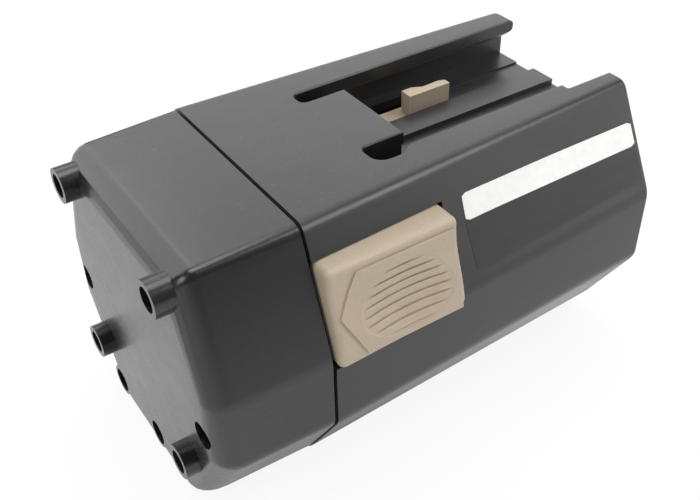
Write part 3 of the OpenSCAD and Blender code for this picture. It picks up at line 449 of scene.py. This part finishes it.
def fibreFinish(name, s):
    # pressed paper: long fibres lying across each other
    mat, tree, bsdf = newMaterial(name, {"IOR": s["ior"]})
    place = objectPlace(tree)
    along = noiseNode(tree, stretched(tree, place, s["along"]), s["fibreScale"], 4.0, 0.7)
    across = noiseNode(tree, stretched(tree, place, s["across"]), s["fibreScale"], 4.0, 0.7)
    fibres = mathNode(tree, "MAXIMUM", along, across)
    drift = useGroup(tree, "drift", Size=s["driftSize"])
    base = mixColour(tree, rangeNode(tree, fibres, *s["fibreRange"]), s["colour"], s["fibreColour"])
    stain = mathNode(tree, "MULTIPLY", drift["Tone"], s["stainAmount"])
    base = mixColour(tree, stain, base, scaled(s["colour"], s["stainTone"]))
    tree.links.new(base, bsdf.inputs["Base Color"])
    rough = rangeNode(tree, fibres, *s["roughRange"], *s["roughness"])
    tree.links.new(rough, bsdf.inputs["Roughness"])
    tree.links.new(bumpNode(tree, fibres, s["depth"]), bsdf.inputs["Normal"])
    return mat


def foamFinish(name, s):
    # closed cells cut open at the surface; their pits get painted shade, darker than the foam around them
    mat, tree, bsdf = newMaterial(name, {"IOR": s["ior"]})
    cells = addNode(tree, "TexVoronoi")
    cells.inputs["Scale"].default_value = s["cellScale"]
    tree.links.new(objectPlace(tree), cells.inputs["Vector"])
    pits = rangeNode(tree, cells.outputs["Distance"], *s["pitRange"])
    # painted shade: the recessed pits are darker than the foam
    base = mixColour(tree, pits, scaled(s["colour"], s["pitShadeTone"]), s["colour"])
    tree.links.new(base, bsdf.inputs["Base Color"])
    tree.links.new(rangeNode(tree, pits, 0.0, 1.0, *s["roughness"]), bsdf.inputs["Roughness"])
    tree.links.new(bumpNode(tree, pits, s["depth"]), bsdf.inputs["Normal"])
    return mat


def sleeveFinish(name, s):
    # shrunk film: lengthwise draw lines, soft ripples and a glossy skin
    mat, tree, bsdf = newMaterial(name, {"IOR": s["ior"]})
    lines = stretched(tree, objectPlace(tree), s["stretch"])
    ripple = noiseNode(tree, lines, s["rippleScale"], 3.0, 0.5)
    drift = useGroup(tree, "drift", Size=s["driftSize"])
    edges = useGroup(tree, "edges", Radius=s["edgeRadius"])
    base = mixColour(tree, drift["Tone"], s["colour"], scaled(s["colour"], s["driftLight"]))
    worn = mathNode(tree, "MULTIPLY", edges["Edge"], s["edgeAmount"])
    base = mixColour(tree, worn, base, scaled(s["colour"], s["edgeLight"]))
    tree.links.new(base, bsdf.inputs["Base Color"])
    tree.links.new(rangeNode(tree, drift["Smear"], 0.0, 1.0, *s["roughness"]), bsdf.inputs["Roughness"])
    tree.links.new(bumpNode(tree, ripple, s["depth"]), bsdf.inputs["Normal"])
    return mat


# One finish for each material slot of the record; the cap is a little glossier than the housing
caseSkin = {
    "colour": (0.010, 0.010, 0.0103), "edgeColour": (0.06, 0.059, 0.057), "edgeAmount": 0.35,
    "dustColour": (0.12, 0.118, 0.115), "dust": 0.22, "ior": 1.56, "sheen": 0.08, "toneSpread": 0.07,
    "grainSize": 0.28, "grainDepth": 0.000012, "driftSize": 32.0, "edgeRadius": 0.45,
    "roughness": (0.32, 0.38),
}
capSkin = {**caseSkin, "sheen": 0.05, "grainDepth": 0.000007, "roughness": (0.25, 0.29)}
capPlastic = plasticFinish("capPlastic", capSkin)
finishes = {
    "case_plastic": plasticFinish("casePlastic", caseSkin),
    "beige_plastic": plasticFinish("beigePlastic", {
        "colour": (0.425, 0.347, 0.257), "edgeColour": (0.64, 0.55, 0.43), "edgeAmount": 0.6,
        "dustColour": (0.40, 0.34, 0.27), "dust": 0.25, "ior": 1.48, "sheen": 0.12, "toneSpread": 0.04,
        "grainSize": 0.22, "grainDepth": 0.000008, "driftSize": 12.0, "edgeRadius": 0.5,
        "roughness": (0.34, 0.44),
    }),
    "inner_plastic": plasticFinish("innerPlastic", {
        "colour": (0.022, 0.022, 0.024), "edgeColour": (0.07, 0.07, 0.072), "edgeAmount": 0.25,
        "dustColour": (0.10, 0.10, 0.10), "dust": 0.15, "ior": 1.5, "sheen": 0.05, "toneSpread": 0.07,
        "grainSize": 0.18, "grainDepth": 0.000005, "driftSize": 15.0, "edgeRadius": 0.3,
        "roughness": (0.28, 0.38),
    }),
    "bright_steel": metalFinish("brightSteel", {
        "colour": (0.62, 0.62, 0.60), "tarnish": (0.46, 0.46, 0.47),
        "lineSize": 0.12, "lineDepth": 0.000006, "driftSize": 4.0, "roughness": (0.22, 0.36),
    }),
    "contact_brass": metalFinish("contactBrass", {
        "colour": (0.72, 0.50, 0.24), "tarnish": (0.50, 0.33, 0.15),
        "lineSize": 0.10, "lineDepth": 0.000005, "driftSize": 5.0, "roughness": (0.24, 0.38),
    }),
    "nickel": metalFinish("nickelStrip", {
        "colour": (0.63, 0.60, 0.54), "tarnish": (0.50, 0.47, 0.42),
        "lineSize": 0.16, "lineDepth": 0.000005, "driftSize": 7.0, "roughness": (0.18, 0.32),
    }),
    "cell_sleeve": sleeveFinish("cellSleeve", {
        "colour": (0.04, 0.16, 0.10), "ior": 1.5, "driftSize": 14.0, "driftLight": 1.25,
        "stretch": (0.25, 1.0, 1.0), "rippleScale": 700.0, "depth": 0.0001,
        "edgeRadius": 0.6, "edgeAmount": 0.4, "edgeLight": 1.8, "roughness": (0.2, 0.34),
    }),
    "card": fibreFinish("pressedCard", {
        "colour": (0.52, 0.45, 0.31), "fibreColour": (0.62, 0.55, 0.41), "ior": 1.45,
        "fibreScale": 1600.0, "fibreRange": (0.45, 0.75),
        "along": (0.12, 1.0, 0.6), "across": (1.0, 0.14, 0.6),
        "driftSize": 18.0, "stainAmount": 0.3, "stainTone": 0.8,
        "roughRange": (0.4, 0.7), "roughness": (0.75, 0.92), "depth": 0.00008,
    }),
    "foam": foamFinish("padFoam", {
        "colour": (0.25, 0.25, 0.26), "ior": 1.4, "cellScale": 1400.0,
        "pitRange": (0.1, 0.6), "pitShadeTone": 0.55, "roughness": (0.95, 0.8), "depth": 0.0002,
    }),
}
leadColours = {
    "red_insulation": (0.40, 0.03, 0.02),
    "black_insulation": (0.02, 0.02, 0.02),
    "white_insulation": (0.75, 0.73, 0.66),
}
for slot, colour in leadColours.items():
    finishes[slot] = plasticFinish(slot.replace("_i", "I"), {
        "colour": colour, "edgeColour": scaled(colour, 1.3), "edgeAmount": 0.2,
        "dustColour": (0.2, 0.2, 0.2), "dust": 0.1, "ior": 1.45, "sheen": 0.05, "toneSpread": 0.05,
        "grainSize": 0.15, "grainDepth": 0.000006, "driftSize": 9.0, "edgeRadius": 0.2,
        "roughness": (0.42, 0.55),
    })
print("finishes ready:", len(finishes))


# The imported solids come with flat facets: weld them and shade the curves smoothly between the sharp edges
skinSet = {
    "weld": 0.000002,
    "sharpAngle": math.radians(30),
}


def shadingGroup(s):
    group = bpy.data.node_groups.new("smoothSkin", "GeometryNodeTree")
    group.interface.new_socket("Geometry", in_out="INPUT", socket_type="NodeSocketGeometry")
    group.interface.new_socket("Geometry", in_out="OUTPUT", socket_type="NodeSocketGeometry")
    start = group.nodes.new("NodeGroupInput")
    end = group.nodes.new("NodeGroupOutput")
    weld = group.nodes.new("GeometryNodeMergeByDistance")
    weld.inputs["Distance"].default_value = s["weld"]
    plain = group.nodes.new("GeometryNodeRemoveAttribute")
    plain.inputs["Name"].default_value = "custom_normal"
    creases = group.nodes.new("GeometryNodeSetShadeSmooth")
    creases.domain = "EDGE"
    bend = group.nodes.new("GeometryNodeInputMeshEdgeAngle")
    slight = group.nodes.new("FunctionNodeCompare")
    slight.operation = "LESS_THAN"
    slight.inputs["B"].default_value = s["sharpAngle"]
    group.links.new(bend.outputs["Unsigned Angle"], slight.inputs["A"])
    group.links.new(slight.outputs["Result"], creases.inputs["Shade Smooth"])
    smooth = group.nodes.new("GeometryNodeSetShadeSmooth")
    smooth.domain = "FACE"
    chain = [start, weld, plain, creases, smooth, end]
    for a, b in zip(chain, chain[1:]):
        group.links.new(a.outputs[0], b.inputs[0])
    return group


smoothSkin = shadingGroup(skinSet)


def smoothCurves(obj):
    skin = obj.modifiers.new("smoothSkin", "NODES")
    skin.node_group = smoothSkin
    normals = obj.modifiers.new("evenNormals", "WEIGHTED_NORMAL")
    normals.keep_sharp = True


slotOf = {row["node"]: row["material_slot"] for row in frame["record"]["subparts"]}
for name, obj in nodes.items():
    obj.data.materials.clear()
    obj.data.materials.append(capPlastic if name == "base_cap" else finishes[slotOf[name]])
    smoothCurves(obj)
print("finishes and shading on", len(nodes), "nodes")


# Bare label on the near shoulder: a dark film with a plain white strip along its upper edge
labelSet = {
    "fromSeam": (40.1, 94.6),          # mm, start and end along the pack
    "filmTop": (66.4, 65.3), "filmLow": (49.0, 51.6),        # heights at the start and the end
    "stripTop": (66.3, 65.2), "stripLow": (60.3, 59.85),
    "filmLift": 0.04, "stripLift": 0.12, "thickness": 0.05,
    "corner": 0.5,
    "columns": 48, "rows": 12,
}
caseSet = {
    # the shoulder's edges at the seam and at the open end, as in the solid
    "seam": -31.95, "length": 96.5,
    "topHalf": (29.0, 24.4), "topHeight": 74.232,
    "kneeHalf": (40.05, 38.05), "kneeHeight": (44.832, 48.232),
    "castFrom": 3.0,                   # mm above the flat shoulder
}
housingMesh = nodes["main_housing"].data
housingSkin = BVHTree.FromPolygons([v.co for v in housingMesh.vertices],
                                   [p.vertices for p in housingMesh.polygons])


def between(pair, share):
    return pair[0] + (pair[1] - pair[0]) * share


def shoulderPoint(x, z, lift):
    # the flat shoulder's place, then down onto the solid, so that the label follows the rounded edge below
    share = (x - caseSet["seam"]) / caseSet["length"]
    topHalf = between(caseSet["topHalf"], share)
    kneeHalf = between(caseSet["kneeHalf"], share)
    kneeHeight = between(caseSet["kneeHeight"], share)
    drop = (caseSet["topHeight"] - z) / (caseSet["topHeight"] - kneeHeight)
    half = topHalf + (kneeHalf - topHalf) * drop
    out = Vector((0, -(caseSet["topHeight"] - kneeHeight), kneeHalf - topHalf)).normalized()
    above = (Vector((x, -half, z)) + out * caseSet["castFrom"]) * mm
    onSkin = housingSkin.ray_cast(above, -out)[0]
    return onSkin + out * lift * mm


def labelPiece(name, top, low, lift, s, mat):
    x0, x1 = (caseSet["seam"] + v for v in s["fromSeam"])
    mesh = bpy.data.meshes.new(name)
    bm = bmesh.new()
    grid = []
    for i in range(s["columns"] + 1):
        u = i / s["columns"]
        zTop = between(top, u)
        zLow = between(low, u)
        x = x0 + (x1 - x0) * u
        edge = min(x - x0, x1 - x)                  # corners cut back to a quarter round
        back = s["corner"] - math.sqrt(max(0.0, s["corner"] ** 2 - max(0.0, s["corner"] - edge) ** 2))
        column = []
        for j in range(s["rows"] + 1):
            v = j / s["rows"]
            z = (zTop - back) + ((zLow + back) - (zTop - back)) * v
            column.append(bm.verts.new(shoulderPoint(x, z, lift)))
        grid.append(column)
    for i in range(s["columns"]):
        for j in range(s["rows"]):
            bm.faces.new((grid[i][j], grid[i][j + 1], grid[i + 1][j + 1], grid[i + 1][j]))
    bm.to_mesh(mesh)
    bm.free()
    mesh.materials.append(mat)
    piece = bpy.data.objects.new(name, mesh)
    scene.collection.objects.link(piece)
    body = piece.modifiers.new("thickness", "SOLIDIFY")
    body.thickness = s["thickness"] * mm
    body.offset = 0.0
    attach(piece, "pack")


darkFilm = plasticFinish("labelFilm", {
    "colour": (0.014, 0.014, 0.015), "edgeColour": (0.04, 0.04, 0.04), "edgeAmount": 0.2,
    "dustColour": (0.10, 0.10, 0.10), "dust": 0.12, "ior": 1.5, "sheen": 0.1, "toneSpread": 0.05,
    "grainSize": 0.6, "grainDepth": 0.000004, "driftSize": 20.0, "edgeRadius": 0.1,
    "roughness": (0.38, 0.46),
})
whiteStrip = plasticFinish("labelStrip", {
    "colour": (0.86, 0.855, 0.83), "edgeColour": (0.80, 0.79, 0.76), "edgeAmount": 0.2,
    "dustColour": (0.70, 0.69, 0.67), "dust": 0.12, "ior": 1.45, "sheen": 0.05, "toneSpread": 0.012,
    "grainSize": 0.5, "grainDepth": 0.000004, "driftSize": 15.0, "edgeRadius": 0.1,
    "roughness": (0.45, 0.58),
})
labelPiece("label_film", labelSet["filmTop"], labelSet["filmLow"], labelSet["filmLift"],
           labelSet, darkFilm)
labelPiece("label_strip", labelSet["stripTop"], labelSet["stripLow"], labelSet["stripLift"],
           labelSet, whiteStrip)
print("label ready")


# Latch spring: a finer coil in place of the imported one
springSet = {
    "turns": 9, "wire": 0.5,           # wire in mm
    "steps": 24, "sides": 10,          # rings in a turn, points in a ring
}


def latchSpring(s):
    low, high = (Vector(v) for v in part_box("return_spring"))
    middle = (low + high) / 2
    wire = s["wire"] * mm / 2
    coil = (high.x - low.x) / 2 - wire
    start, end = low.y + wire, high.y - wire
    count = s["turns"] * s["steps"]
    pitch = (end - start) / s["turns"]
    bm = bmesh.new()
    rings = []
    for k in range(count + 1):
        a = math.tau * k / s["steps"]
        out = Vector((math.cos(a), 0, math.sin(a)))
        along = Vector((-coil * math.sin(a), pitch / math.tau, coil * math.cos(a))).normalized()
        side = along.cross(out)
        centre = Vector((middle.x, start + pitch * k / s["steps"], middle.z)) + out * coil
        turn = [math.tau * j / s["sides"] for j in range(s["sides"])]
        rings.append([bm.verts.new(centre + (out * math.cos(t) + side * math.sin(t)) * wire) for t in turn])
    for a, b in zip(rings, rings[1:]):
        for j in range(s["sides"]):
            i = (j + 1) % s["sides"]
            bm.faces.new((a[j], b[j], b[i], a[i]))
    bm.faces.new(rings[0])
    bm.faces.new(rings[-1][::-1])
    bmesh.ops.recalc_face_normals(bm, faces=bm.faces)
    mesh = bpy.data.meshes.new("latch_spring")
    bm.to_mesh(mesh)
    bm.free()
    mesh.shade_smooth()
    mesh.materials.append(finishes["bright_steel"])
    piece = bpy.data.objects.new("latch_spring", mesh)
    scene.collection.objects.link(piece)
    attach(piece, "pack")
    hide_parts("return_spring")
    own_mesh(piece)


latchSpring(springSet)
print("latch spring ready")
